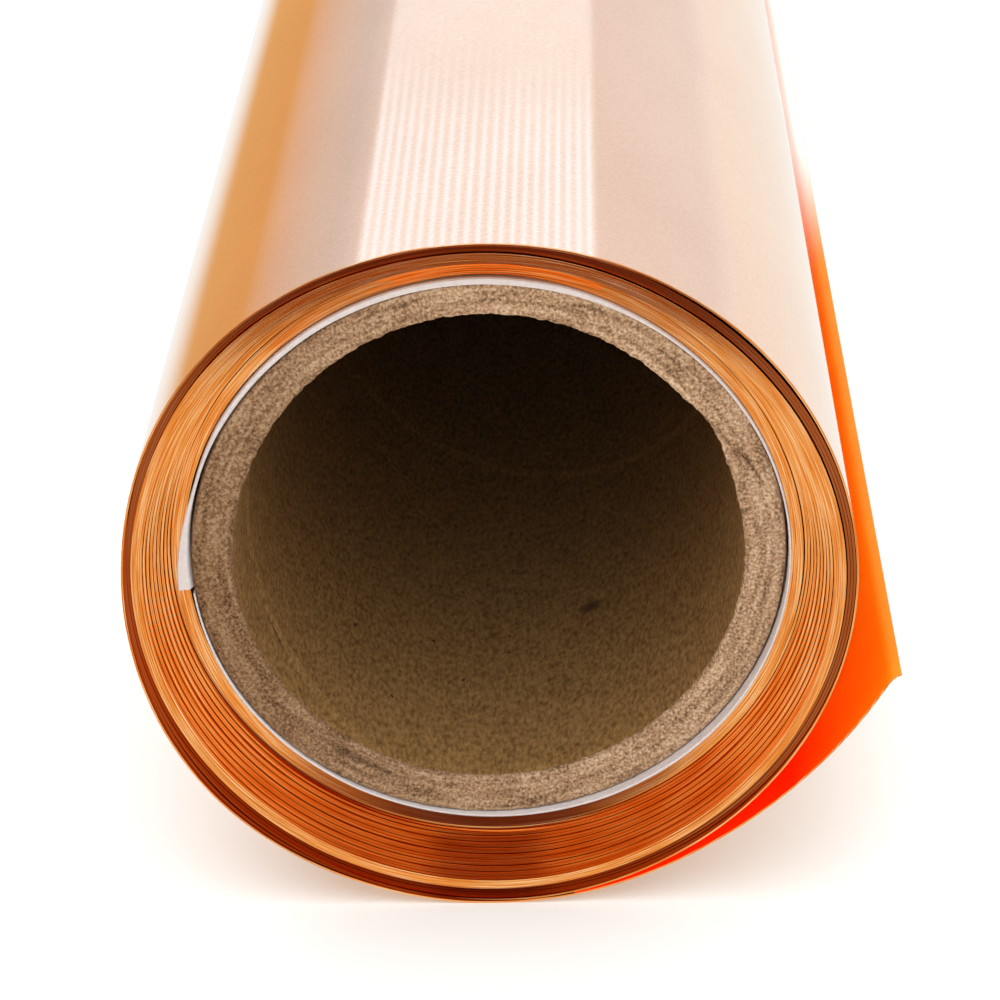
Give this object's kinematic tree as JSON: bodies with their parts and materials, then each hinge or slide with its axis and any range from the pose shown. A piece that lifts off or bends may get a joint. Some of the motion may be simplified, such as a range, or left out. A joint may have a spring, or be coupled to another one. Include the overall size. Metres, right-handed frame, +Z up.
{
  "type": "roll of copper sheet",
  "caption": "Roll of thin copper sheet wound on a cardboard tube, lying on its side, with telescoped ends, a white liner strip and a sprung free edge.",
  "frame": {"origin": "on the roll's axis, halfway along the cardboard tube's bore", "axes": "+Y along the roll's axis, from the near telescoped end to the far end; +Z up; +X towards the side where the free edge springs off"},
  "size_m": [0.0578, 0.3055, 0.0542],
  "materials": {
    "tube_board": "uncoated grey-brown chipboard, speckled, matte, frayed at the cut ends",
    "liner_foam": "thin white foam film, soft and matte",
    "rolled_copper": "bright cold-rolled copper with fine rolling grain; brass stands for copper"
  },
  "bodies": {
    "root": {"core_tube": "tube_board", "liner_strip": "liner_foam", "copper_sheet": "rolled_copper"}
  },
  "joints": []
}
